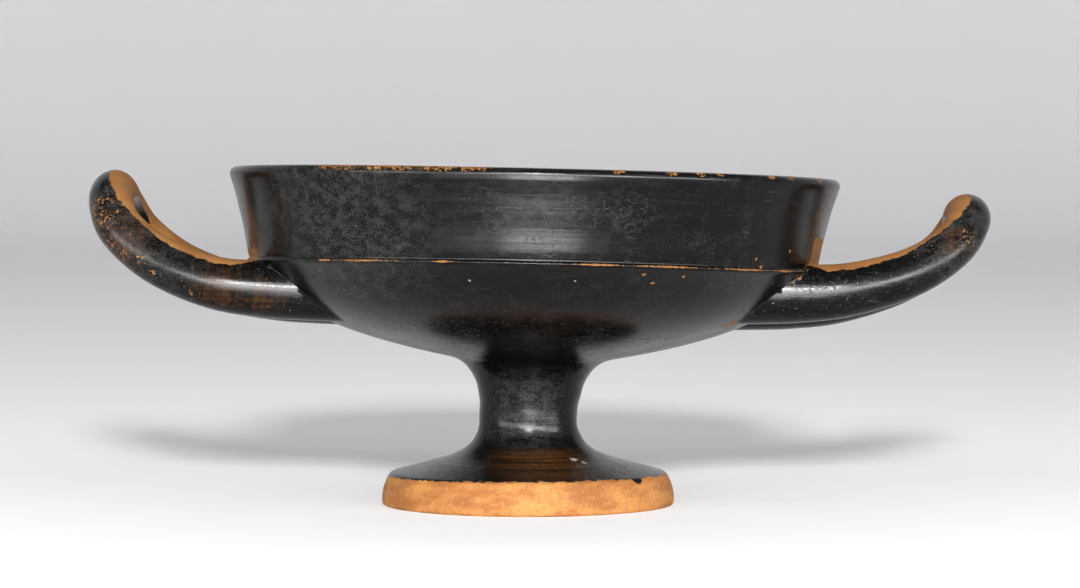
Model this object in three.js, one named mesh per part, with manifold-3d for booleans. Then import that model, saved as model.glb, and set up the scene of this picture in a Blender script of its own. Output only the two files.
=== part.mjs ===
// Black-glazed stemmed drinking cup (kylix) with two horseshoe handles, fired as one piece of clay.
// Millimetres, +Z up, handles along X. The cup stands on a ring under its foot at Z = 0.
import * as THREE from 'three';
import { mergeVertices } from 'three/addons/utils/BufferGeometryUtils.js';
import Module from 'manifold-3d';

const wasm = await Module();
wasm.setup();

// ---------- driving dimensions (mm) ----------

// Where the axis of the foot stands, so that the origin is the centre of the footprint of the whole cup.
const FOOT_AXIS = [-3.22, -1.83];

// Foot: a thick disc with a plain rounded edge, hollowed to a cone underneath.
const FOOT = {
  ringOuter: 37.5,
  ringInner: 31.5,
  widest: 38.1,
  widestHeight: 1.3,
  topEdge: 36.0,
  topEdgeHeight: 8.2,
  flareStart: 24.9,
  flareHeight: 11.2,
};

// Stem: narrowest at the waist.
const WAIST_RADIUS = 12.7;
const WAIST_HEIGHT = 22.4;

// Bowl: shallow, running out from the stem to a sharp shoulder.
const BOWL_START = [21.2, 38.0];
const SHOULDER = [74.4, 61.7];
const BOWL_FLOOR_HEIGHT = 41.6;
const BOWL_WALL = 3.6;

// Lip: stands on the shoulder and leans out to a rounded rim.
const LIP_BASE = [73.9, 62.5];
const LIP_TOP = [79.25, 83.9];
const LIP_WALL = 3.6;
const RIM_HEIGHT = 85.9;
const RIM_CREST_RADIUS = 77.3;

// The cup warped a little in the kiln: everything above the stem leans to +X and away from -Y.
const LEAN_SIDE_DEG = 1.3;
const LEAN_BACK_DEG = 1.72;
const LEAN_PIVOT_HEIGHT = 23;
const LEAN_FROM_HEIGHT = 18;
const LEAN_TO_HEIGHT = 34;
const LEAN_SHIFT = 0.4;

// At the front the shoulder line stands higher than at the sides and the rim lower.
const FRONT_SHOULDER_RISE = 0.9;
const FRONT_RIM_DROP = 0.2;

// Handles: each loop is two limbs that leave the bowl under the shoulder and rise to a common tip.
// limb: centre line of one limb as [out from the axis, half of the spread, height].
// skew and drop: how far out and how far down the limb on the -Y side sits against its mirror image.
const HANDLES = [
  {
    side: -1,
    limb: [
      [42.0, 22.4, 53.0],
      [66.0, 23.5, 53.6],
      [80.5, 24.5, 55.2],
      [94.5, 22.3, 60.5],
      [104.6, 17.9, 68.3],
      [108.6, 10.1, 75.4],
    ],
    tip: [109.2, 78.4],
    rootRadius: 7.3,
    middleRadius: 5.5,
    tipHalfWidth: 5.8,
    tipHalfHeight: 6.1,
    tipRollDeg: -6,
    skew: -0.046,
    drop: -0.034,
  },
  {
    side: 1,
    limb: [
      [42.0, 20.7, 54.4],
      [66.0, 21.7, 55.2],
      [81.0, 22.8, 56.5],
      [96.9, 20.9, 61.4],
      [107.5, 16.6, 68.4],
      [112.1, 9.5, 75.2],
    ],
    tip: [112.4, 77.9],
    rootRadius: 7.6,
    middleRadius: 5.5,
    tipHalfWidth: 5.7,
    tipHalfHeight: 5.2,
    tipRollDeg: 22,
    skew: 0.011,
    drop: -0.054,
  },
];

// Facets
const AROUND = 60;
const LIMB_STEPS = 2;
const LIMB_SIDES = 14;

// ---------- curves ----------

const vec = (point) => new THREE.Vector2(point[0], point[1]);

function curve(points, steps) {
  const made = points.length === 3
    ? new THREE.QuadraticBezierCurve(...points.map(vec))
    : new THREE.CubicBezierCurve(...points.map(vec));
  return made.getPoints(steps).map((p) => [p.x, p.y]);
}

// Moves every point of an open line to its left by a thickness that changes evenly along it.
function offset(line, startThickness, endThickness) {
  return line.map((point, i) => {
    const a = line[Math.max(i - 1, 0)];
    const b = line[Math.min(i + 1, line.length - 1)];
    const length = Math.hypot(b[0] - a[0], b[1] - a[1]);
    const t = i / (line.length - 1);
    const thickness = startThickness + (endThickness - startThickness) * t;
    return [point[0] - (b[1] - a[1]) / length * thickness, point[1] + (b[0] - a[0]) / length * thickness];
  });
}

// ---------- solids ----------

function solid(geometry) {
  geometry.deleteAttribute('normal');
  geometry.deleteAttribute('uv');
  const merged = mergeVertices(geometry, 1e-4);
  const corners = merged.index.array;
  const triangles = [];
  for (let i = 0; i < corners.length; i += 3) {
    const [a, b, c] = corners.slice(i, i + 3);
    if (a !== b && b !== c && c !== a) triangles.push(a, b, c);
  }
  return new wasm.Manifold(new wasm.Mesh({
    numProp: 3,
    vertProperties: new Float32Array(merged.attributes.position.array),
    triVerts: new Uint32Array(triangles),
  }));
}

// Turns a line of [radius, height] points about Z. It starts and ends on the axis.
function revolve(line) {
  return solid(new THREE.LatheGeometry(line.map(vec), AROUND).rotateX(Math.PI / 2));
}

// ---------- the turned cup ----------

const footHollow = [
  [0, 29.0],
  [3.4, 27.6],
  [5.2, 23.0],
  [7.2, 16.5],
  [10.5, 11.5],
  [17.0, 7.0],
  [29.0, 3.0],
  [FOOT.ringInner, 0],
];

const footEdge = [
  [FOOT.ringOuter, 0],
  ...curve([[FOOT.widest, FOOT.widestHeight], [38.0, 4.0], [FOOT.topEdge, FOOT.topEdgeHeight]], 4),
];

const footFlare = curve(
  [[FOOT.flareStart, FOOT.flareHeight], [17.7, 13.15], [WAIST_RADIUS, 15.4], [WAIST_RADIUS, WAIST_HEIGHT]],
  7,
);

const stemFillet = curve(
  [[WAIST_RADIUS, WAIST_HEIGHT], [WAIST_RADIUS, 28.9], [14.3, 36.6], BOWL_START],
  6,
);

const bowlOutside = curve([BOWL_START, [63.8, 46.0], [63.7, 54.1], SHOULDER], 9);

const lipOutside = curve([LIP_BASE, [75.6, 73.0], LIP_TOP], 4);

const rim = [
  ...curve([LIP_TOP, [79.3, 85.8], [RIM_CREST_RADIUS, RIM_HEIGHT]], 3).slice(1),
  [76.1, 85.4],
];

const lipInside = offset(lipOutside, LIP_WALL, LIP_WALL).reverse();

const bowlInside = [
  ...offset(bowlOutside.slice(1), BOWL_WALL + 1, BOWL_WALL).reverse().slice(1),
  [12.0, BOWL_FLOOR_HEIGHT + 0.25],
  [0, BOWL_FLOOR_HEIGHT],
];

const cup = revolve([
  ...footHollow,
  ...footEdge,
  ...footFlare,
  ...stemFillet.slice(1),
  ...bowlOutside.slice(1),
  ...lipOutside,
  ...rim,
  ...lipInside,
  ...bowlInside,
]);

// A plug that fills the bowl to the middle of its wall. It trims the roots of the handles.
const plug = revolve([
  [0, BOWL_FLOOR_HEIGHT - 2],
  ...offset(bowlOutside.slice(1), BOWL_WALL / 2, BOWL_WALL / 2),
  [72.0, 90],
  [0, 90],
]);

// ---------- the handles ----------

const blend = (a, b, c, t) => a * (1 - t) * (1 - t) + 2 * b * t * (1 - t) + c * t * t;

function handle(spec) {
  const place = (out, spread, height) =>
    new THREE.Vector3(spec.side * (out + spec.skew * spread), spread, height + spec.drop * spread);
  const nearLimb = spec.limb.map(([out, spread, height]) => place(out, -spread, height));
  const farLimb = spec.limb.map(([out, spread, height]) => place(out, spread, height)).reverse();
  const tip = place(spec.tip[0], 0, spec.tip[1]);
  const centreLine = new THREE.CatmullRomCurve3([...nearLimb, tip, ...farLimb], false, 'catmullrom', 0.5);
  const spans = 2 * spec.limb.length;

  // A straight rod of radius 1 and length 1 along Y, bent to the centre line.
  const rod = new THREE.CylinderGeometry(1, 1, 1, LIMB_SIDES, spans * LIMB_STEPS);
  const points = rod.attributes.position;
  for (let i = 0; i < points.count; i++) {
    const along = THREE.MathUtils.clamp(points.getY(i) + 0.5, 0, 1);
    const direction = centreLine.getPoint(Math.min(along + 0.002, 1))
      .sub(centreLine.getPoint(Math.max(along - 0.002, 0)))
      .normalize();
    const outward = new THREE.Vector3().crossVectors(direction, new THREE.Vector3(0, 0, 1)).normalize();
    const upward = new THREE.Vector3().crossVectors(outward, direction);
    // 0 where the limb leaves the bowl, 1 at the tip
    const rise = Math.max(0, 1 - Math.abs(2 * along - 1) * spans / (spans - 2));
    const across = points.getX(i) * blend(spec.rootRadius, spec.middleRadius, spec.tipHalfWidth, rise);
    const up = points.getZ(i) * blend(spec.rootRadius, spec.middleRadius, spec.tipHalfHeight, rise);
    const roll = THREE.MathUtils.degToRad(spec.tipRollDeg) * rise ** 4 * spec.side;
    const point = centreLine.getPoint(along)
      .addScaledVector(outward, across * Math.cos(roll) - up * Math.sin(roll))
      .addScaledVector(upward, up * Math.cos(roll) + across * Math.sin(roll));
    points.setXYZ(i, point.x, point.y, point.z);
  }
  return solid(rod).subtract(plug);
}

// ---------- kiln warp ----------

const smooth = (from, to, value) => THREE.MathUtils.smoothstep(value, from, to);

function warp([x, y, z]) {
  const front = Math.max(0, -y / Math.max(Math.hypot(x, y), 1)) ** 2 * smooth(30, 70, Math.hypot(x, y));
  const toRim = (z - SHOULDER[1]) / (RIM_HEIGHT - SHOULDER[1]);
  const lift = toRim < 0
    ? FRONT_SHOULDER_RISE * smooth(40, SHOULDER[1], z)
    : FRONT_SHOULDER_RISE - (FRONT_SHOULDER_RISE + FRONT_RIM_DROP) * toRim;
  const amount = smooth(LEAN_FROM_HEIGHT, LEAN_TO_HEIGHT, z);
  const side = THREE.MathUtils.degToRad(LEAN_SIDE_DEG) * amount;
  const back = THREE.MathUtils.degToRad(LEAN_BACK_DEG) * amount;
  const point = new THREE.Vector3(x, y, z + front * lift - LEAN_PIVOT_HEIGHT)
    .applyAxisAngle(new THREE.Vector3(0, 1, 0), side)
    .applyAxisAngle(new THREE.Vector3(1, 0, 0), -back);
  point.x += LEAN_SHIFT * amount + FOOT_AXIS[0];
  point.y += FOOT_AXIS[1];
  point.z += LEAN_PIVOT_HEIGHT;
  return point;
}

// ---------- the finished piece ----------

const whole = HANDLES.reduce((body, spec) => body.add(handle(spec)), cup);
const mesh = whole.getMesh();

const positions = [];
for (let i = 0; i < mesh.numVert; i++) {
  const start = i * mesh.numProp;
  const point = warp(Array.from(mesh.vertProperties.slice(start, start + 3)));
  positions.push(point.x, point.y, point.z);
}

const geometry = new THREE.BufferGeometry();
geometry.setAttribute('position', new THREE.Float32BufferAttribute(positions, 3));
geometry.setIndex(Array.from(mesh.triVerts));

const glaze = new THREE.MeshStandardMaterial({ color: 0x26262a, roughness: 0.3, metalness: 0, flatShading: true });
const kylix = new THREE.Mesh(geometry, glaze);
kylix.name = 'kylix';

const part = new THREE.Group();
part.name = 'kylix_cup';
part.add(kylix);

export default part;
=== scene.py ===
"""Black-glazed stemmed drinking cup (kylix): the finished looks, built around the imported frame.

Curves are given in millimetres on the turned cup, where the foot's axis is Z and nothing has leaned yet.
The mesh is turned, its handles are joined on, then it is waved and chipped, warped as in the kiln, and
set to metres. Materials read the place on the turned cup from the mesh, so that they follow the warp.
"""
from math import cos, radians, sin

import bpy
import numpy as np
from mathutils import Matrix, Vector


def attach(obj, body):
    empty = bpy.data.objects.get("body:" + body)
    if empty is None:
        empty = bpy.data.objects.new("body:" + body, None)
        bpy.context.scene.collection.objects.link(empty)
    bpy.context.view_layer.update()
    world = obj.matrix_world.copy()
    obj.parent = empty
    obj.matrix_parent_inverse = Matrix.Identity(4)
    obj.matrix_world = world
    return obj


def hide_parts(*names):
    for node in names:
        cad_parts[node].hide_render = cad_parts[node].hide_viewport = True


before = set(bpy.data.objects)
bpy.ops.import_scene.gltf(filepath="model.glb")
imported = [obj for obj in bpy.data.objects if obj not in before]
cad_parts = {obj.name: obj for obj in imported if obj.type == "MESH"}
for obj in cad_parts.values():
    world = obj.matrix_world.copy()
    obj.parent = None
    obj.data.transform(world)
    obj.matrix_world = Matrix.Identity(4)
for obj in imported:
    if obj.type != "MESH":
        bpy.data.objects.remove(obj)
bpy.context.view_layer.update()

MM = 0.001

# ---------- driving dimensions (mm), as in the frame ----------

FOOT_AXIS = (-3.22, -1.83)

RING_INNER = 31.5
RING_OUTER = 37.5
FOOT_TOP_EDGE = (36.0, 8.2)
FLARE_START = (24.9, 11.2)
WAIST = (12.7, 22.4)
BOWL_START = (21.2, 38.0)
BOWL_FLOOR_HEIGHT = 41.6
BOWL_WALL = 3.6
SHOULDER = (74.4, 61.7)
LIP_BASE = (73.9, 62.5)
LIP_TOP = (79.25, 83.9)
LIP_WALL = 3.6
RIM_CREST = (77.3, 85.9)

LEAN_SIDE = radians(1.3)
LEAN_BACK = radians(1.72)
LEAN_PIVOT_HEIGHT = 23
LEAN_FROM_HEIGHT = 18
LEAN_TO_HEIGHT = 34
LEAN_SHIFT = 0.4
FRONT_SHOULDER_RISE = 0.9
FRONT_RIM_DROP = 0.2

# Handles. limb: centre line of one limb as (out from the axis, half of the spread, height).
HANDLES = [
    dict(
        side=-1,
        limb=[
            (42.0, 22.4, 53.0),
            (66.0, 23.5, 53.6),
            (80.5, 24.5, 55.2),
            (94.5, 22.3, 60.5),
            (104.6, 17.9, 68.3),
            (108.6, 10.1, 75.4),
        ],
        tip=(109.2, 78.4),
        root_radius=7.3,
        middle_radius=5.5,
        tip_half_width=5.8,
        tip_half_height=6.1,
        tip_roll=radians(-6),
        skew=-0.046,
        drop=-0.034,
    ),
    dict(
        side=1,
        limb=[
            (42.0, 20.7, 54.4),
            (66.0, 21.7, 55.2),
            (81.0, 22.8, 56.5),
            (96.9, 20.9, 61.4),
            (107.5, 16.6, 68.4),
            (112.1, 9.5, 75.2),
        ],
        tip=(112.4, 77.9),
        root_radius=7.6,
        middle_radius=5.5,
        tip_half_width=5.7,
        tip_half_height=5.2,
        tip_roll=radians(22),
        skew=0.011,
        drop=-0.054,
    ),
]

# Wear of the edges: (degrees from the front, reach in mm).
RIM_WEAR = [
    (-38, 9),
    (-27, 10),
    (-17, 7),
    (-11, 5),
    (15, 2),
    (25, 2.2),
    (31, 1.8),
    (35, 1.6),
    (48, 2),
    (54, 2),
    (66, 2.6),
]
RIM_WEAR_RADIUS = 78.3
RIM_WEAR_HEIGHT = 85.4
SHOULDER_WEAR = [(-44, 3), (-34, 12), (-17, 4), (12, 9), (27, 13), (45, 13), (58, 8)]
SHOULDER_WEAR_RADIUS = 74.3
SHOULDER_WEAR_HEIGHT = 61.9

# Single marks: (x, y, z, reach) on the turned cup.
BARE_FLECKS = [
    (34.6, -64.0, 65.8, 1.0),
    (55.3, -49.5, 64.7, 0.8),
    (64.4, -37.9, 67.0, 0.8),
    (27.1, -66.6, 59.8, 0.9),
    (29.3, -63.2, 57.9, 0.9),
    (37.0, -61.5, 59.7, 0.8),
    (56.7, -47.2, 62.7, 0.9),
    (70.8, -23.8, 63.4, 1.7),
    (69.2, -25.4, 61.6, 1.5),
    (67.4, -27.2, 59.8, 1.1),
    (65.8, -28.8, 58.3, 0.8),
    (51.0, -26.0, 48.4, 4.0),
]
HANDLE_FLECKS = [
    (-111.0, -19.0, 72.0, 9),
    (-106.5, -22.5, 62.0, 7),
    (-99.3, -27.5, 61.3, 2.4),
    (-96.5, -28.0, 58.3, 1.8),
    (-86.7, -29.4, 53.3, 1.5),
    (70.8, -23.8, 63.4, 3.0),
    (69.2, -25.6, 61.6, 2.6),
    (67.4, -27.4, 59.8, 2.2),
    (65.8, -28.9, 58.3, 1.6),
    (111.0, -21.0, 71.2, 4),
    (113.0, -17.0, 66.6, 4),
    (108.0, -24.5, 64.6, 1.8),
]
PALE_CHIPS = [
    (-15.2, -67.5, 57.4, 0.6),
    (10.4, -68.9, 57.9, 0.5),
    (11.8, -16.2, 12.8, 1.5),
    (14.4, -16.9, 12.0, 1.2),
]
THIN_ON_HANDLES = [
    (-79.0, -31.0, 54.0, 12),
    (-68.0, -30.0, 52.0, 9),
    (-104.0, -22.0, 66.0, 14),
    (106.7, -22.2, 71.6, 8),
]
THIN_ON_FOOT = [(4.0, -21.0, 12.5, 17)]
# Spots of hazy grey gloss. The first, on the front of the stem, is painted sheen standing in for the stem's
# reflection; the others are dull haze of the gloss.
DULL_AND_STEM_SHEEN = [
    (0.0, -12.5, 26.0, 15),
    (-48.0, -58.0, 74.0, 36),
    (-108.0, -20.0, 68.0, 32),
    (112.0, -18.0, 70.0, 22),
]

# The reserved edge of the foot ends at this height, which changes per mm toward the right and the back.
PAINT_LINE_HEIGHT = 7.6
PAINT_LINE_TO_RIGHT = 0.007
PAINT_LINE_TO_BACK = -0.027
DRIP = [(28.4, -23.0, 7.6, 2.6)]
DRIP_LENGTH = 1.6

# The reserved panels: cosine of their half angle from the side, mean height of their tops, and how much
# higher than that the right one goes.
PANEL_COSINE = 0.95
PANEL_TOP = 67.5
PANEL_TOP_TO_RIGHT = 3.0

# Slight waves left by the potter's fingers, and chips out of the rim.
LIP_WAVE = 0.035
LIP_WAVE_LENGTH = 8.5
STEM_WAVE_AROUND = 0.07
STEM_WAVE_ALONG = 0.06
CHIP_RADIUS = 78
CHIP_DEPTH = 0.28

# ---------- mesh density ----------

AROUND = 512
LIMB_RINGS = 160
LIMB_SIDES = 40
PLUG_AROUND = 128

# ---------- curves ----------


def bezier(points, steps):
    """Points along a quadratic or cubic Bezier curve, with both ends."""
    controls = np.array(points, float)
    line = []
    for t in np.linspace(0, 1, steps + 1):
        level = controls
        while len(level) > 1:
            level = level[:-1] * (1 - t) + level[1:] * t
        line.append(level[0])
    return np.array(line)


def catmull_rom(points, parameter):
    """Uniform Catmull-Rom curve through the points, its ends carried straight on. parameter runs 0 to 1."""
    points = np.array(points, float)
    padded = np.vstack([2 * points[0] - points[1], points, 2 * points[-1] - points[-2]])
    place = np.clip(parameter, 0, 1) * (len(points) - 1)
    start = np.minimum(place.astype(int), len(points) - 2)
    t = (place - start)[:, None]
    a, b, c, d = (padded[start + k] for k in range(4))
    bend = 2 * a - 5 * b + 4 * c - d
    twist = 3 * b - a - 3 * c + d
    return 0.5 * (2 * b + (c - a) * t + bend * t**2 + twist * t**3)


def offset(line, start_thickness, end_thickness):
    """Moves every point of an open line to its left by a thickness that changes evenly along it."""
    way = np.gradient(line, axis=0)
    way /= np.linalg.norm(way, axis=1)[:, None]
    thickness = np.linspace(start_thickness, end_thickness, len(line))[:, None]
    return line + np.column_stack([-way[:, 1], way[:, 0]]) * thickness


def smooth(low, high, value):
    """0 below low, 1 above high, and a smooth step between. Runs downward where low is above high."""
    t = np.clip((value - low) / (high - low), 0, 1)
    return t * t * (3 - 2 * t)


# ---------- meshes ----------


def new_object(name, vertices, faces, material_slot):
    """A mesh object with two empty material slots: 0 for the turned parts, 1 for the handles."""
    mesh = bpy.data.meshes.new(name)
    mesh.from_pydata(vertices, [], faces)
    mesh.materials.append(None)
    mesh.materials.append(None)
    mesh.polygons.foreach_set("material_index", np.full(len(mesh.polygons), material_slot, np.int32))
    mesh.update()
    made = bpy.data.objects.new(name, mesh)
    bpy.context.scene.collection.objects.link(made)
    return made


def revolve(name, line, around):
    """Turns a line of (radius, height) points about Z. The line starts and ends on the axis."""
    ring = line[1:-1]
    angles = np.arange(around) * 2 * np.pi / around
    x = np.outer(ring[:, 0], np.cos(angles)).ravel()
    y = np.outer(ring[:, 0], np.sin(angles)).ravel()
    z = np.repeat(ring[:, 1], around)
    vertices = list(zip(x, y, z)) + [(0, 0, line[0][1]), (0, 0, line[-1][1])]
    first_pole = len(ring) * around
    faces = []
    for j in range(around):
        k = (j + 1) % around
        faces.append((first_pole, k, j))
        for i in range(len(ring) - 1):
            below, above = i * around, (i + 1) * around
            faces.append((below + j, below + k, above + k, above + j))
        last = (len(ring) - 1) * around
        faces.append((last + j, last + k, first_pole + 1))
    return new_object(name, vertices, faces, 0)


def bowl_line():
    """The outside of the bowl, from the stem to the shoulder."""
    return bezier([BOWL_START, (63.8, 46.0), (63.7, 54.1), SHOULDER], 30)[1:]


def turned_line():
    """The section of the cup as (radius, height), from the foot's hollow round to the bowl's floor."""
    hollow = [(0, 29.0), (3.4, 27.6), (5.2, 23.0), (7.2, 16.5), (10.5, 11.5), (17.0, 7.0), (29.0, 3.0)]
    hollow = catmull_rom(hollow + [(RING_INNER - 0.5, 0.9)], np.linspace(0, 1, 20))
    ring = [(RING_INNER, 0.25), (RING_INNER + 0.4, 0), (34.5, 0)]
    ring += [(RING_OUTER - 0.2, 0), (RING_OUTER + 0.2, 0.15)]
    edge = bezier([(37.98, 0.6), (38.35, 4.2), FOOT_TOP_EDGE], 9)[:-1]
    arris = bezier([(36.35, 7.55), (36.0, 8.35), (34.6, 8.6)], 4)
    top = bezier([(34.6, 8.6), (29.5, 9.9), FLARE_START], 6)[1:]
    flare = bezier([FLARE_START, (17.7, 13.15), (WAIST[0], 15.4), WAIST], 20)[1:]
    fillet = bezier([WAIST, (WAIST[0], 28.9), (14.3, 36.6), BOWL_START], 16)[1:]
    bowl = bowl_line()
    ledge = [(74.35, 61.98), (74.1, 62.2), (73.85, 62.34), (73.7, 62.55), (73.8, 62.85)]
    lip = bezier([LIP_BASE, (75.6, 73.0), LIP_TOP], 14)
    rim = bezier([LIP_TOP, (79.45, 85.85), RIM_CREST], 6)[1:]
    inner_lip = offset(lip, LIP_WALL, LIP_WALL)[::-1]
    inner_rim = bezier([RIM_CREST, (76.1, 85.8), inner_lip[0]], 4)[1:-1]
    inner_bowl = offset(bowl, BOWL_WALL + 1, BOWL_WALL)[::-1][1:-2:2]
    floor = [(12.0, BOWL_FLOOR_HEIGHT + 0.25), (0, BOWL_FLOOR_HEIGHT)]
    foot = [hollow, ring, edge, arris, top]
    outside = [flare, fillet, bowl, ledge, lip[1:], rim]
    inside = [inner_rim, inner_lip, inner_bowl, floor]
    return np.vstack(foot + outside + inside)


def limb_frame(spec, along):
    """Centre points, outward and upward directions, and rise toward the tip, at places along a handle."""
    half = np.array(spec["limb"], float)
    line = np.vstack([half * (1, -1, 1), [(spec["tip"][0], 0, spec["tip"][1])], half[::-1]])
    spread = line[:, 1].copy()
    line[:, 0] = spec["side"] * (line[:, 0] + spec["skew"] * spread)
    line[:, 2] += spec["drop"] * spread
    step = 0.002
    centre = catmull_rom(line, along)
    way = catmull_rom(line, np.minimum(along + step, 1)) - catmull_rom(line, np.maximum(along - step, 0))
    way /= np.linalg.norm(way, axis=1)[:, None]
    outward = np.cross(way, (0, 0, 1))
    outward /= np.linalg.norm(outward, axis=1)[:, None]
    upward = np.cross(outward, way)
    spans = 2 * len(spec["limb"])
    rise = np.maximum(0, 1 - np.abs(2 * along - 1) * spans / (spans - 2))
    return centre, outward, upward, rise


def blend(a, b, c, t):
    """Quadratic curve of a size from a at the root to c at the tip."""
    return a * (1 - t) ** 2 + 2 * b * t * (1 - t) + c * t**2


def handle(name, spec):
    """One handle as a closed tube, whose roots run on into the bowl."""
    along = np.linspace(0, 1, LIMB_RINGS + 1)
    centre, outward, upward, rise = limb_frame(spec, along)
    width = blend(spec["root_radius"], spec["middle_radius"], spec["tip_half_width"], rise)
    height = blend(spec["root_radius"], spec["middle_radius"], spec["tip_half_height"], rise)
    roll = spec["tip_roll"] * rise**4 * spec["side"]
    vertices = []
    for turn in np.arange(LIMB_SIDES) * 2 * np.pi / LIMB_SIDES:
        across = width * np.cos(turn)
        up = height * np.sin(turn)
        side_way = outward * (across * np.cos(roll) - up * np.sin(roll))[:, None]
        up_way = upward * (up * np.cos(roll) + across * np.sin(roll))[:, None]
        vertices.append(centre + side_way + up_way)
    vertices = np.array(vertices).transpose(1, 0, 2).reshape(-1, 3)
    faces = []
    for i in range(LIMB_RINGS):
        this, after = i * LIMB_SIDES, (i + 1) * LIMB_SIDES
        for j in range(LIMB_SIDES):
            k = (j + 1) % LIMB_SIDES
            faces.append((this + k, this + j, after + j, after + k))
    last = LIMB_RINGS * LIMB_SIDES
    faces.append(tuple(range(LIMB_SIDES)))
    faces.append(tuple(last + j for j in reversed(range(LIMB_SIDES))))
    return new_object(name, vertices.tolist(), faces, 1)


def combine(target, tool, operation):
    """Joins the tool to the target or cuts it away, and removes the tool."""
    step = target.modifiers.new("join", "BOOLEAN")
    step.operation = operation
    step.solver = "MANIFOLD"
    step.object = tool
    bpy.context.view_layer.update()
    graph = bpy.context.evaluated_depsgraph_get()
    made = bpy.data.meshes.new_from_object(target.evaluated_get(graph))
    target.modifiers.clear()
    target.data = made
    bpy.data.objects.remove(tool)


def plug():
    """Fills the bowl to the middle of its wall, to trim the roots of the handles."""
    middle = offset(bowl_line(), BOWL_WALL / 2, BOWL_WALL / 2)
    line = np.vstack([[(0, BOWL_FLOOR_HEIGHT - 2)], middle, [(72, 90), (0, 90)]])
    return revolve("plug", line, PLUG_AROUND)


def build_cup():
    """The cup as one mesh, with its handles trimmed and joined on."""
    cup = revolve("kylix_cup", turned_line(), AROUND)
    for spec in HANDLES:
        limb = handle("limb", spec)
        combine(limb, plug(), "DIFFERENCE")
        combine(cup, limb, "UNION")
    return cup


def warp(points):
    """Lean and unevenness of the fired cup, then its place in the frame. Millimetres in, millimetres out."""
    x, y, z = points.T
    reach = np.hypot(x, y)
    front = np.maximum(0, -y / np.maximum(reach, 1)) ** 2 * smooth(30, 70, reach)
    to_rim = (z - SHOULDER[1]) / (RIM_CREST[1] - SHOULDER[1])
    below = FRONT_SHOULDER_RISE * smooth(40, SHOULDER[1], z)
    above = FRONT_SHOULDER_RISE - (FRONT_SHOULDER_RISE + FRONT_RIM_DROP) * to_rim
    z = z + front * np.where(to_rim < 0, below, above) - LEAN_PIVOT_HEIGHT
    amount = smooth(LEAN_FROM_HEIGHT, LEAN_TO_HEIGHT, points[:, 2])
    side = LEAN_SIDE * amount
    x, z = x * np.cos(side) + z * np.sin(side), z * np.cos(side) - x * np.sin(side)
    back = -LEAN_BACK * amount
    y, z = y * np.cos(back) - z * np.sin(back), y * np.sin(back) + z * np.cos(back)
    x = x + LEAN_SHIFT * amount + FOOT_AXIS[0]
    return np.column_stack([x, y + FOOT_AXIS[1], z + LEAN_PIVOT_HEIGHT])


def hand_made(points):
    """Slight waves left by the potter's fingers on the lip and the stem, and chips out of the rim."""
    x, y, z = points.T
    angle = np.arctan2(x, -y)
    reach = np.maximum(np.hypot(x, y), 1e-6)
    lip = smooth(63.5, 66, z) * smooth(83.5, 81.5, z) * smooth(69, 71, reach) * smooth(82, 80.5, reach)
    change = LIP_WAVE * lip * np.sin(2 * np.pi * (z - 64) / LIP_WAVE_LENGTH + 0.9 * np.sin(angle))
    stem = smooth(14, 17, z) * smooth(38, 33, z) * smooth(11, 12, reach) * smooth(24, 20, reach)
    around = STEM_WAVE_AROUND * np.sin(3 * angle + 0.55 * z)
    along = STEM_WAVE_ALONG * np.sin(1.15 * z + 1.4 * np.sin(2 * angle))
    change += stem * (around + along)
    rim = smooth(84.6, 85.6, z) * smooth(76.4, 77.8, reach)
    for degrees, width in RIM_WEAR:
        away = np.abs(angle - radians(degrees)) * CHIP_RADIUS
        chip = np.exp(-((away / (0.6 * width)) ** 2)) * (0.55 + 0.45 * np.sin(9 * away))
        change -= CHIP_DEPTH * chip * rim
    scale = (reach + change) / reach
    return np.column_stack([x * scale, y * scale, z])


def get_points(mesh):
    points = np.zeros(len(mesh.vertices) * 3)
    mesh.vertices.foreach_get("co", points)
    return points.reshape(-1, 3)


# ---------- materials ----------


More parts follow.
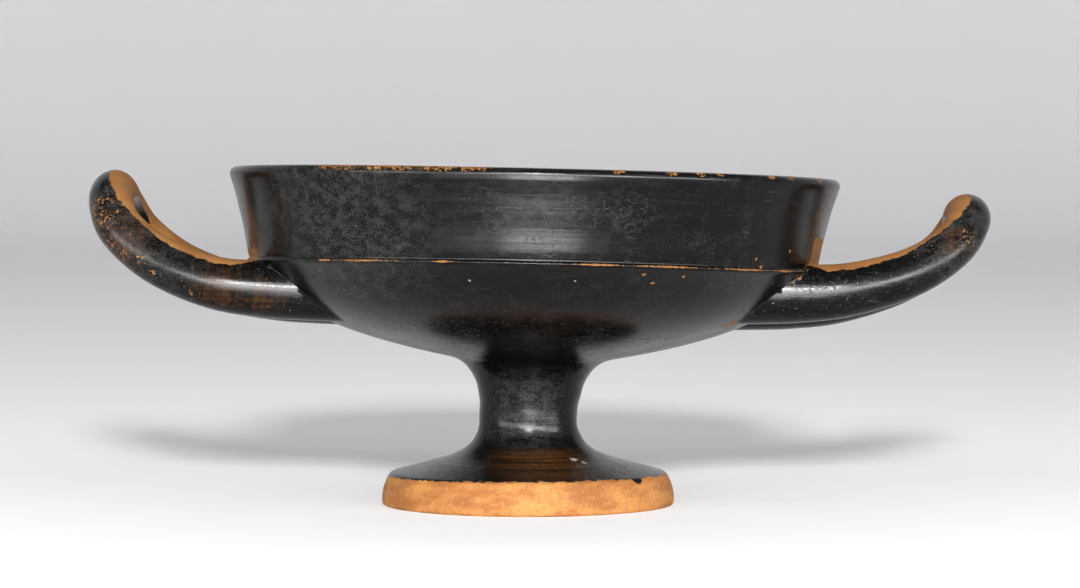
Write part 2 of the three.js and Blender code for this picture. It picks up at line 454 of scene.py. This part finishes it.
class Nodes:
    """Builds a material's nodes. Each method adds nodes and returns the output that the next one needs."""

    def __init__(self, material):
        self.tree = material.node_tree
        self.shader = self.tree.nodes["Principled BSDF"]

    def put(self, socket, value):
        if isinstance(value, bpy.types.NodeSocket):
            self.tree.links.new(value, socket)
        else:
            socket.default_value = value

    def add(self, kind, inputs, **settings):
        node = self.tree.nodes.new(kind)
        for name, value in settings.items():
            setattr(node, name, value)
        for key, value in inputs.items():
            self.put(node.inputs[key], value)
        return node

    def attribute(self, name):
        return self.add("ShaderNodeAttribute", {}, attribute_name=name).outputs["Vector"]

    def parts(self, vector):
        node = self.add("ShaderNodeSeparateXYZ", {0: vector})
        return node.outputs["X"], node.outputs["Y"], node.outputs["Z"]

    def math(self, operation, a, b=0.0, c=0.0):
        return self.add("ShaderNodeMath", {0: a, 1: b, 2: c}, operation=operation).outputs[0]

    def times(self, a, b):
        return self.math("MULTIPLY", a, b)

    def radius(self, x, y):
        return self.math("SQRT", self.math("ADD", self.times(x, x), self.times(y, y)))

    def stretch(self, vector, x, y, z):
        return self.add("ShaderNodeVectorMath", {0: vector, 1: (x, y, z)}, operation="MULTIPLY").outputs[0]

    def noise(self, vector, scale, detail=2.0, roughness=0.5):
        inputs = {"Vector": vector, "Scale": scale, "Detail": detail, "Roughness": roughness}
        return self.add("ShaderNodeTexNoise", inputs).outputs["Fac"]

    def smooth(self, value, low, high, start=0.0, stop=1.0):
        """start below low, stop above high, and a smooth step between."""
        inputs = {"Value": value, "From Min": low, "From Max": high, "To Min": start, "To Max": stop}
        return self.add("ShaderNodeMapRange", inputs, interpolation_type="SMOOTHSTEP").outputs[0]

    def mix(self, factor, a, b):
        node = self.add("ShaderNodeMix", {0: factor, 6: a, 7: b}, data_type="RGBA")
        return node.outputs[2]

    def near(self, vector, spots):
        """1 in the middle of the nearest spot, 0 at its reach and beyond. Spots are (x, y, z, reach)."""
        best = 0.0
        for x, y, z, reach in spots:
            node = self.add("ShaderNodeVectorMath", {0: vector, 1: (x, y, z)}, operation="DISTANCE")
            closeness = self.math("MULTIPLY_ADD", node.outputs["Value"], -1 / reach, 1.0)
            best = self.math("MAXIMUM", closeness, best)
        return best

    def bump(self, height, distance, normal=None):
        inputs = {"Height": height, "Distance": distance}
        if normal is not None:
            inputs["Normal"] = normal
        return self.add("ShaderNodeBump", inputs).outputs["Normal"]


CLAY_DARK = (0.29, 0.105, 0.025, 1)
CLAY_LIGHT = (0.47, 0.205, 0.055, 1)
CLAY_GRIT = (0.2, 0.075, 0.022, 1)
CLAY_PALE = (0.52, 0.29, 0.13, 1)
# Darker brown that the clay takes on from 30 mm up.
CLAY_DARKER_ABOVE = (0.15, 0.068, 0.017, 1)
GLOSS_BLACK = (0.0022, 0.0022, 0.0022, 1)
GLOSS_RUBBED = (0.009, 0.0087, 0.008, 1)
GLOSS_WHEEL_LINE = (0.012, 0.010, 0.008, 1)
GLOSS_DUST = (0.16, 0.145, 0.12, 1)
GLOSS_SCRATCH = (0.10, 0.095, 0.085, 1)
# Hazy grey of dull gloss, also used as painted sheen on the front of the stem.
GLOSS_HAZE_AND_SHEEN = (0.026, 0.0255, 0.0235, 1)
# Brown of thin gloss, also used for the painted reflection of the orange handles beside the panels.
GLOSS_BROWN = (0.07, 0.027, 0.005, 1)
CHIP_PALE = (0.55, 0.45, 0.33, 1)
PAPER = (0.9, 0.9, 0.91, 1)
CLAY_ROUGHNESS = 0.72
PAPER_ROUGHNESS = 0.8
GLOSS_SPECULAR_LEVEL = 0.12


def new_material(name):
    material = bpy.data.materials.new(name)
    material.use_nodes = True
    return material, Nodes(material)


def paper():
    material, n = new_material("paper")
    n.put(n.shader.inputs["Base Color"], PAPER)
    n.put(n.shader.inputs["Roughness"], PAPER_ROUGHNESS)
    return material


def ring_spots(spots, radius, height):
    """Spots given by their angle from the front, as (x, y, z, reach)."""
    return [(radius * sin(radians(a)), -radius * cos(radians(a)), height, reach) for a, reach in spots]


def fired_clay(n, place):
    """Colour and grain of bare orange clay: blotches, dark grit, pale patches, and a darker brown from 30 mm
    up, above the foot.
    """
    blotch = n.noise(n.stretch(place, 1, 1, 2.5), 0.09, 4, 0.6)
    colour = n.mix(n.smooth(blotch, 0.35, 0.65), CLAY_DARK, CLAY_LIGHT)
    grain = n.noise(place, 1.6, 3, 0.65)
    colour = n.mix(n.smooth(grain, 0.36, 0.47, 0.6, 0), colour, CLAY_GRIT)
    pale = n.noise(place, 0.7, 3, 0.6)
    colour = n.mix(n.smooth(pale, 0.56, 0.7, 0, 0.3), colour, CLAY_PALE)
    height = n.parts(place)[2]
    # The clay turns darker from 30 mm to 45 mm up and stays darker above.
    return n.mix(n.smooth(height, 30, 45, 0, 0.65), colour, CLAY_DARKER_ABOVE), grain


def wheel_marks(n, place):
    """Fine lines of the turning, across the height on walls and across the radius on flat parts."""
    x, y, _ = n.parts(place)
    slow = n.stretch(place, 0.02, 0.02, 0)
    rings = n.add("ShaderNodeCombineXYZ", {2: n.radius(x, y)}).outputs[0]
    across = n.add("ShaderNodeVectorMath", {0: n.stretch(rings, 1, 1, 1.6), 1: slow}, operation="ADD")
    upright = n.noise(n.stretch(place, 0.02, 0.02, 1.6), 1, 4, 0.65)
    flat = n.noise(across.outputs[0], 1, 4, 0.65)
    return n.times(n.math("ADD", upright, flat), 0.5)


def gloss(n, place, brown_gloss_mask, dull_and_sheen):
    """Colour, roughness and height of black gloss. It is brown where thin, and beside the panels that brown
    is also a painted reflection of the orange handles; it is hazy grey where dull, and on the front of the
    stem that grey is painted sheen.
    """
    wheel = wheel_marks(n, place)
    mottle = n.noise(n.stretch(place, 1, 1, 1.5), 0.28, 5, 0.7)
    stipple = n.noise(place, 1.1, 3, 0.7)
    patches = n.noise(place, 0.07, 2)
    dust = n.noise(place, 2.4, 2, 0.7)
    scratches = n.noise(n.stretch(place, 0.16, 0.16, 3.2), 1, 2, 0.6)

    rubbed = n.times(n.smooth(mottle, 0.45, 0.7), n.smooth(patches, 0.4, 0.6, 0.3, 1))
    # Grey haze of dull gloss; on the front of the stem it is painted sheen.
    haze_and_sheen = n.times(dull_and_sheen, n.smooth(n.math("ADD", mottle, dust), 0.88, 1.2))
    brown = n.times(brown_gloss_mask, n.smooth(wheel, 0.42, 0.58, 0.15, 1))
    colour = n.mix(rubbed, GLOSS_BLACK, GLOSS_RUBBED)
    colour = n.mix(n.smooth(wheel, 0.55, 0.68, 0, 0.5), colour, GLOSS_WHEEL_LINE)
    colour = n.mix(n.smooth(dust, 0.68, 0.74, 0, 0.35), colour, GLOSS_DUST)
    colour = n.mix(n.smooth(scratches, 0.68, 0.74, 0, 0.3), colour, GLOSS_SCRATCH)
    colour = n.mix(haze_and_sheen, colour, GLOSS_HAZE_AND_SHEEN)
    colour = n.mix(brown, colour, GLOSS_BROWN)

    spots = n.times(n.smooth(stipple, 0.55, 0.66), n.smooth(patches, 0.45, 0.6))
    rough = n.math("ADD", n.smooth(mottle, 0.35, 0.7, 0.19, 0.25), n.times(spots, 0.2))
    height = n.math("ADD", wheel, n.times(spots, -0.35))
    return colour, rough, height


def surface(n, place, clay, brown_gloss_mask, pale):
    """Black gloss over orange clay. clay is 1 where it is bare; the brown mask marks brown gloss, which is
    thin gloss and, in the streaks beside the panels, also a painted reflection; pale marks chips.
    """
    # Dull haze, and painted sheen on the front of the stem.
    dull_and_sheen = n.smooth(n.near(place, DULL_AND_STEM_SHEEN), 0, 0.7)
    clay_colour, grain = fired_clay(n, place)
    gloss_colour, gloss_rough, height = gloss(n, place, brown_gloss_mask, dull_and_sheen)
    colour = n.mix(clay, gloss_colour, clay_colour)
    n.put(n.shader.inputs["Base Color"], n.mix(pale, colour, CHIP_PALE))
    n.put(n.shader.inputs["Specular IOR Level"], GLOSS_SPECULAR_LEVEL)
    bare = n.math("MAXIMUM", clay, pale)
    rough = n.add("ShaderNodeMix", {0: bare, 2: gloss_rough, 3: CLAY_ROUGHNESS}, data_type="FLOAT")
    n.put(n.shader.inputs["Roughness"], rough.outputs[0])
    fine = n.bump(height, 0.00007)
    pits = n.bump(n.times(grain, bare), 0.00025, fine)
    step = n.bump(n.times(bare, -1.0), 0.00007, pits)
    n.put(n.shader.inputs["Normal"], step)


def foot_edge(n, place, coarse):
    """Reserved clay of the foot's edge, below a slanting paint line with one drip."""
    x, y, z = n.parts(place)
    line = n.math("MULTIPLY_ADD", y, PAINT_LINE_TO_BACK, PAINT_LINE_HEIGHT)
    line = n.math("ADD", n.times(x, PAINT_LINE_TO_RIGHT), line)
    below = n.math("SUBTRACT", n.math("MULTIPLY_ADD", n.near(place, DRIP), -DRIP_LENGTH, line), z)
    return n.smooth(n.math("ADD", below, n.times(coarse, 0.5)), -0.08, 0.08)


def handle_panels(n, place, coarse):
    """Reserved panels between the roots of each handle, and brown streaks beside them, partly thin gloss and
    partly a painted reflection of the orange inner handles.
    """
    x, y, z = n.parts(place)
    radius = n.radius(x, y)
    toward_side = n.math("DIVIDE", n.math("ABSOLUTE", x), n.math("MAXIMUM", radius, 1.0))
    ragged_side = n.math("MULTIPLY_ADD", coarse, 0.006, toward_side)
    inside = n.smooth(ragged_side, PANEL_COSINE - 0.002, PANEL_COSINE + 0.002)
    top = n.math("MULTIPLY_ADD", n.math("SIGN", x), PANEL_TOP_TO_RIGHT, PANEL_TOP)
    under = n.smooth(n.math("MULTIPLY_ADD", coarse, 0.5, n.math("SUBTRACT", top, z)), -0.15, 0.15)
    outer = n.smooth(radius, 55, 56)
    wall = n.smooth(n.math("MULTIPLY_ADD", n.math("SUBTRACT", z, 62), -0.25, radius), 71.4, 72.0)
    panel = n.times(n.times(inside, under), n.times(outer, wall))

    # Streaks on the lip beside the panels: thin brown gloss together with a painted reflection of the orange
    # inner handles.
    beside = n.times(n.smooth(toward_side, 0.925, 0.945), n.smooth(toward_side, 0.985, 0.96))
    fading = n.smooth(n.math("MULTIPLY_ADD", coarse, 6.0, z), 84, 64, 0.15, 0.9)
    thin_and_reflected_streak = n.times(n.times(beside, fading), n.times(n.smooth(z, 59, 61), wall))
    return panel, thin_and_reflected_streak


def worn_edges(n, place, ragged):
    """Bare clay along the worn parts of the rim and the shoulder, and in small flecks."""
    z = n.parts(place)[2]
    rim = n.near(place, ring_spots(RIM_WEAR, RIM_WEAR_RADIUS, RIM_WEAR_HEIGHT))
    rim = n.math("MULTIPLY_ADD", n.math("SUBTRACT", z, 85.2), 0.35, n.math("MINIMUM", rim, 0.5))
    rim = n.times(n.math("MULTIPLY_ADD", ragged, 0.9, rim), n.smooth(z, 84.2, 84.7))

    shoulder = n.near(place, ring_spots(SHOULDER_WEAR, SHOULDER_WEAR_RADIUS, SHOULDER_WEAR_HEIGHT))
    off_edge = n.math("ABSOLUTE", n.math("SUBTRACT", z, SHOULDER_WEAR_HEIGHT))
    shoulder = n.math("MULTIPLY_ADD", off_edge, -1.7, n.math("MULTIPLY_ADD", shoulder, 0.6, 0.4))
    shoulder = n.math("MULTIPLY_ADD", ragged, 0.55, shoulder)

    flecks = n.math("MULTIPLY_ADD", ragged, 0.5, n.near(place, BARE_FLECKS))
    worn = n.math("MAXIMUM", n.smooth(rim, 0.45, 0.6), n.smooth(shoulder, 0.5, 0.62))
    return n.math("MAXIMUM", worn, n.smooth(flecks, 0.38, 0.55))


def cup_glaze():
    """The turned parts."""
    material, n = new_material("cup_glaze")
    place = n.attribute("turned")
    z = n.parts(place)[2]
    coarse = n.smooth(n.noise(place, 0.5, 4, 0.65), 0.3, 0.7, -0.5, 0.5)
    ragged = n.smooth(n.noise(place, 1.3, 4, 0.7), 0.3, 0.7, -0.5, 0.5)
    panel, thin_and_reflected_streak = handle_panels(n, place, coarse)
    clay = n.math("MAXIMUM", foot_edge(n, place, coarse), panel)
    clay = n.math("MAXIMUM", clay, worn_edges(n, place, ragged))
    foot_rings = n.times(n.near(place, THIN_ON_FOOT), n.smooth(z, 16.5, 13, 0, 1.2))
    # The streaks beside the panels are partly a painted reflection of the orange handles.
    brown_gloss_mask = n.math("MAXIMUM", thin_and_reflected_streak, foot_rings)
    pale = n.smooth(n.math("MULTIPLY_ADD", ragged, 0.6, n.near(place, PALE_CHIPS)), 0.3, 0.5, 0, 0.5)
    surface(n, place, clay, brown_gloss_mask, pale)
    return material


def handle_glaze():
    """The handles: black outside and underneath, with the side that faces the loop reserved."""
    material, n = new_material("handle_glaze")
    place = n.attribute("turned")
    along, inward, up = n.parts(n.attribute("limb"))
    ragged = n.smooth(n.noise(place, 0.5, 4, 0.6), 0.3, 0.7, -0.06, 0.06)
    fine = n.smooth(n.noise(place, 0.9, 5, 0.72), 0.3, 0.7, -0.5, 0.5)
    facing = n.math("ADD", n.times(inward, 0.695), n.times(up, 0.72))
    from_tip = n.math("ABSOLUTE", n.math("SUBTRACT", along, 0.5))
    limit = n.smooth(from_tip, 0.14, 0.32, 0.66, 0.1)
    limit = n.math("ADD", limit, n.smooth(from_tip, 0.36, 0.41, 0.0, 0.6))
    clay = n.smooth(n.math("SUBTRACT", n.math("ADD", facing, ragged), limit), -0.03, 0.03)
    flecks = n.math("MULTIPLY_ADD", fine, 0.9, n.math("MINIMUM", n.near(place, HANDLE_FLECKS), 0.4))
    clay = n.math("MAXIMUM", clay, n.smooth(flecks, 0.58, 0.7))
    brown_gloss_mask = n.smooth(n.math("MULTIPLY_ADD", fine, 0.8, n.near(place, THIN_ON_HANDLES)), 0.25, 1.1, 0, 0.6)
    pale = n.smooth(n.noise(place, 2.0, 2, 0.6), 0.70, 0.75, 0, 0.5)
    surface(n, place, clay, brown_gloss_mask, pale)
    return material


# ---------- the cup ----------


def limb_coordinates(points):
    """For points on a handle: place along it, and the inward and upward parts of the way from its middle."""
    values = np.zeros((len(points), 3))
    for spec in HANDLES:
        along = np.linspace(0, 1, 800)
        centre, outward, upward, _ = limb_frame(spec, along)
        inward = outward * -spec["side"]
        chosen = np.flatnonzero(points[:, 0] * spec["side"] > 0)
        for part in np.array_split(chosen, len(chosen) // 2000 + 1):
            gap = points[part][:, None, :] - centre[None]
            nearest = np.argmin((gap**2).sum(2), axis=1)
            away = gap[np.arange(len(part)), nearest]
            away /= np.maximum(np.linalg.norm(away, axis=1), 1e-6)[:, None]
            values[part, 0] = along[nearest]
            values[part, 1] = (away * inward[nearest]).sum(1)
            values[part, 2] = (away * upward[nearest]).sum(1)
    return values


def store(mesh, name, values):
    attribute = mesh.attributes.new(name, "FLOAT_VECTOR", "POINT")
    attribute.data.foreach_set("vector", values.ravel().astype(np.float32))


cup = build_cup()
points = hand_made(get_points(cup.data))
store(cup.data, "turned", points)
store(cup.data, "limb", limb_coordinates(points))
cup.data.vertices.foreach_set("co", (warp(points) * MM).ravel())
cup.data.update()
cup.data.materials[0] = cup_glaze()
cup.data.materials[1] = handle_glaze()
cup.data.shade_smooth()
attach(cup, "root")
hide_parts("kylix")

# ---------- floor, light and camera ----------


CAMERA_LENS = 128.1
CAMERA_PLACE = (-0.0001, -1.00183, 0.0947)
CAMERA_PITCH = radians(2.295)
FLOOR_RADIUS = 2.4
SWEEP_RADIUS = 0.8
WALL_TOP = 2.6
SWEEP_SIDES = 96


def backdrop():
    """A round paper sweep: a flat floor that curves up to a wall all round, far from the cup."""
    section = [(FLOOR_RADIUS * k / 8, 0.0) for k in range(1, 8)]
    for turn in np.linspace(0, np.pi / 2, 17):
        reach = FLOOR_RADIUS + SWEEP_RADIUS * np.sin(turn)
        section.append((reach, SWEEP_RADIUS * (1 - np.cos(turn))))
    section.append((FLOOR_RADIUS + SWEEP_RADIUS, WALL_TOP))
    vertices = [(0, 0, 0)]
    for reach, height in section:
        for turn in np.arange(SWEEP_SIDES) * 2 * np.pi / SWEEP_SIDES:
            vertices.append((reach * np.cos(turn), reach * np.sin(turn), height))
    faces = [(0, 1 + j, 1 + (j + 1) % SWEEP_SIDES) for j in range(SWEEP_SIDES)]
    for i in range(len(section) - 1):
        inner, outer = 1 + i * SWEEP_SIDES, 1 + (i + 1) * SWEEP_SIDES
        for j in range(SWEEP_SIDES):
            k = (j + 1) % SWEEP_SIDES
            faces.append((inner + j, outer + j, outer + k, inner + k))
    mesh = bpy.data.meshes.new("backdrop")
    mesh.from_pydata(vertices, [], faces)
    mesh.shade_smooth()
    made = bpy.data.objects.new("backdrop", mesh)
    bpy.context.scene.collection.objects.link(made)
    mesh.materials.append(paper())


def softbox(name, place, aim, size, power, diffuse=True):
    """A soft rectangular light. Without diffuse it is a reflector that only shows in the gloss."""
    light = bpy.data.lights.new(name, "AREA")
    light.shape = "RECTANGLE"
    light.size, light.size_y = size
    light.energy = power
    made = bpy.data.objects.new(name, light)
    made.location = place
    made.rotation_euler = (Vector(aim) - Vector(place)).to_track_quat("-Z", "Y").to_euler()
    made.visible_camera = False
    made.visible_diffuse = diffuse
    bpy.context.scene.collection.objects.link(made)


backdrop()
softbox("key", (0.05, -1.9, 0.65), (0, 0, 0.05), (0.24, 0.2), 66)
softbox("left_fill", (-1.3, -1.7, 1.4), (0, 0, 0), (1.5, 1.2), 11)
softbox("right_fill", (1.3, -1.7, 1.4), (0, 0, 0), (1.5, 1.2), 11)
softbox("wall_wash", (0, 0.6, 2.0), (0, 2.2, 0), (2.4, 0.5), 6)
softbox("card", (0.010, -0.27, 0.001), (0.010, -0.26, 0.1), (0.12, 0.24), 4.6, False)
softbox("wide_card", (-0.04, -0.27, 0.001), (-0.04, -0.26, 0.1), (0.30, 0.24), 1.6, False)
softbox("front_panel", (0.1, -1.3, 0.17), (0, 0, 0.03), (1.6, 0.3), 70, False)
softbox("left_panel", (-1.0, -0.8, 0.18), (0, 0, 0.03), (0.9, 0.35), 15, False)
softbox("right_panel", (1.0, -0.8, 0.18), (0, 0, 0.03), (0.9, 0.35), 22, False)

world = bpy.data.worlds.new("studio")
bpy.context.scene.world = world
world.use_nodes = True
world.node_tree.nodes["Background"].inputs["Color"].default_value = (0.10, 0.10, 0.105, 1)

camera = bpy.data.objects.new("camera", bpy.data.cameras.new("camera"))
camera.data.lens = CAMERA_LENS
camera.data.sensor_width = 36
camera.data.clip_end = 30
camera.location = CAMERA_PLACE
camera.rotation_euler = (radians(90) - CAMERA_PITCH, 0, 0)
bpy.context.scene.collection.objects.link(camera)
bpy.context.scene.camera = camera
bpy.context.scene.view_settings.view_transform = "Standard"
